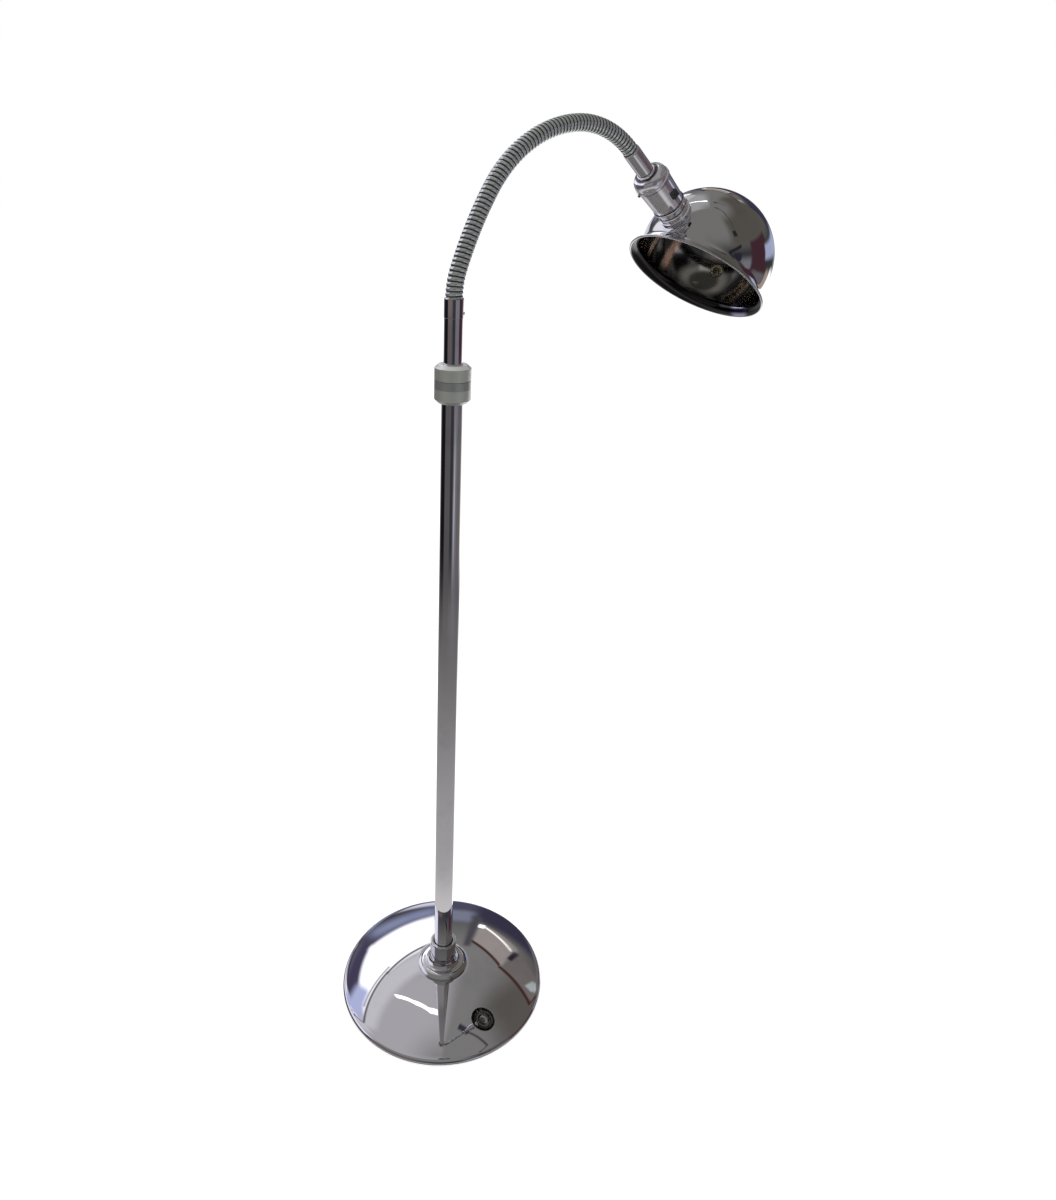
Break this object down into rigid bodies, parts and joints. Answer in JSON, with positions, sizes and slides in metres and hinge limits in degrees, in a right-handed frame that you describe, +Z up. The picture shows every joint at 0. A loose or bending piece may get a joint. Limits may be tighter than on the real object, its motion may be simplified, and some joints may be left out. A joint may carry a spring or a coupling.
{
  "type": "flexible neck floor lamp",
  "caption": "Chromed floor lamp on a weighted round base, with a telescopic mast, knurled height clamp, coiled flexible neck and domed shade.",
  "frame": {"origin": "centre of the floor pad under the mast, on the floor", "axes": "+Z up along the mast; +X towards the side the neck leans over to; the switch end that is out points to -Y"},
  "size_m": [0.5744, 0.25, 1.0321],
  "materials": {
    "chromed_sheet": "bright chrome plate over a pressed steel dome with faint turning rings",
    "chromed_tube": "bright chrome plated steel tube",
    "chromed_fittings": "bright chrome plated turned fittings",
    "chromed_neck": "chrome plated coiled steel, dull in the grooves",
    "chromed_holder": "bright nickel and chrome plated pressed brass",
    "chromed_shade": "spun shade, bright chrome plate inside and outside",
    "satin_nickel": "satin plated, knurled, with a smooth darker band",
    "zinc_steel": "dull zinc plated steel",
    "cast_ballast": "raw cast iron, painted black",
    "black_rubber": "matt black rubber",
    "black_plastic": "black moulded plastic",
    "lamp_porcelain": "glazed off-white insulating sleeve",
    "nickel_brass": "nickel plated brass, worn to yellow on the edges"
  },
  "bodies": {
    "base": {"floor_pad": "black_rubber", "base_weight": "cast_ballast", "base_shell": "chromed_sheet", "tie_washer": "zinc_steel", "tie_nut": "zinc_steel", "tie_stud": "zinc_steel", "tube_plug": "zinc_steel", "foot_flange": "chromed_fittings", "lower_tube": "chromed_tube", "cable_grommet": "black_rubber", "collar_body": "satin_nickel", "collet": "black_plastic"},
    "clamp": {"clamp_nut": "satin_nickel"},
    "mast_guide": {"guide_bush": "black_plastic"},
    "mast": {"upper_tube": "chromed_tube", "mast_ferrule": "chromed_fittings", "neck_screw": "zinc_steel"},
    "neck_01": {"neck_link_01": "chromed_neck"},
    "neck_02": {"neck_link_02": "chromed_neck"},
    "neck_03": {"neck_link_03": "chromed_neck"},
    "neck_04": {"neck_link_04": "chromed_neck"},
    "neck_05": {"neck_link_05": "chromed_neck"},
    "neck_06": {"neck_link_06": "chromed_neck"},
    "neck_07": {"neck_link_07": "chromed_neck"},
    "neck_08": {"neck_link_08": "chromed_neck"},
    "neck_09": {"neck_link_09": "chromed_neck"},
    "neck_10": {"neck_link_10": "chromed_neck"},
    "neck_11": {"neck_link_11": "chromed_neck"},
    "head": {"neck_link_12": "chromed_neck", "head_ferrule": "chromed_fittings", "nipple": "zinc_steel", "lampholder_cap": "chromed_holder", "lampholder_shell": "chromed_holder", "switch_body": "black_plastic", "socket_liner": "lamp_porcelain", "screw_shell": "nickel_brass", "centre_contact": "nickel_brass", "shade_ring": "chromed_holder", "inner_nut": "nickel_brass", "shade": "chromed_shade"},
    "switch": {"switch_bar": "black_plastic"}
  },
  "joints": [
    {"name": "height_slide", "type": "slide", "parent": "base", "child": "mast_guide", "axis": [0, 0, 1], "range_m": [-0.044, 0.46]},
    {"name": "mast_swivel", "type": "hinge", "parent": "mast_guide", "child": "mast", "pos_m": [0, 0, 0.215], "axis": [0, 0, 1], "range_deg": [-170, 170]},
    {"name": "clamp_turn", "type": "hinge", "parent": "base", "child": "clamp", "pos_m": [0, 0, 0.78], "axis": [0, 0, 1], "range_deg": [0, 120]},
    {"name": "neck_bend_01", "type": "hinge", "parent": "mast", "child": "neck_01", "pos_m": [0, 0, 0.857], "axis": [0, 1, 0], "range_deg": [-12, 8]},
    {"name": "neck_sway_02", "type": "hinge", "parent": "neck_01", "child": "neck_02", "pos_m": [0.00468, 0, 0.88355], "axis": [0.9397, 0, -0.342], "range_deg": [-8, 8]},
    {"name": "neck_bend_03", "type": "hinge", "parent": "neck_02", "child": "neck_03", "pos_m": [0.01483, 0, 0.90868], "axis": [0, 1, 0], "range_deg": [-12, 8]},
    {"name": "neck_sway_04", "type": "hinge", "parent": "neck_03", "child": "neck_04", "pos_m": [0.02671, 0, 0.93303], "axis": [0.8829, 0, -0.4695], "range_deg": [-8, 8]},
    {"name": "neck_bend_05", "type": "hinge", "parent": "neck_04", "child": "neck_05", "pos_m": [0.04026, 0, 0.95649], "axis": [0, 1, 0], "range_deg": [-12, 8]},
    {"name": "neck_sway_06", "type": "hinge", "parent": "neck_05", "child": "neck_06", "pos_m": [0.05671, 0, 0.97797], "axis": [0.7325, 0, -0.6807], "range_deg": [-8, 8]},
    {"name": "neck_bend_07", "type": "hinge", "parent": "neck_06", "child": "neck_07", "pos_m": [0.07693, 0, 0.99596], "axis": [0, 1, 0], "range_deg": [-12, 8]},
    {"name": "neck_sway_08", "type": "hinge", "parent": "neck_07", "child": "neck_08", "pos_m": [0.10018, 0, 1.00979], "axis": [0.4274, 0, -0.9041], "range_deg": [-8, 8]},
    {"name": "neck_bend_09", "type": "hinge", "parent": "neck_08", "child": "neck_09", "pos_m": [0.12564, 0, 1.01898], "axis": [0, 1, 0], "range_deg": [-12, 8]},
    {"name": "neck_sway_10", "type": "hinge", "parent": "neck_09", "child": "neck_10", "pos_m": [0.15237, 0, 1.02319], "axis": [0.061, 0, -0.9981], "range_deg": [-8, 8]},
    {"name": "neck_bend_11", "type": "hinge", "parent": "neck_10", "child": "neck_11", "pos_m": [0.17935, 0, 1.02154], "axis": [0, 1, 0], "range_deg": [-12, 8]},
    {"name": "neck_sway_12", "type": "hinge", "parent": "neck_11", "child": "head", "pos_m": [0.20513, 0, 1.01341], "axis": [-0.4147, 0, -0.91], "range_deg": [-8, 8]},
    {"name": "switch_push", "type": "slide", "parent": "head", "child": "switch", "axis": [0, 1, 0], "range_m": [0, 0.0027]}
  ],
  "couplings": [
    {"joint": "neck_bend_03", "follows": "neck_bend_01", "ratio": 1},
    {"joint": "neck_bend_05", "follows": "neck_bend_01", "ratio": 1},
    {"joint": "neck_bend_09", "follows": "neck_bend_07", "ratio": 1},
    {"joint": "neck_bend_11", "follows": "neck_bend_07", "ratio": 1},
    {"joint": "neck_sway_04", "follows": "neck_sway_02", "ratio": 1},
    {"joint": "neck_sway_06", "follows": "neck_sway_02", "ratio": 1},
    {"joint": "neck_sway_08", "follows": "neck_sway_02", "ratio": 1},
    {"joint": "neck_sway_10", "follows": "neck_sway_02", "ratio": 1},
    {"joint": "neck_sway_12", "follows": "neck_sway_02", "ratio": 1}
  ]
}
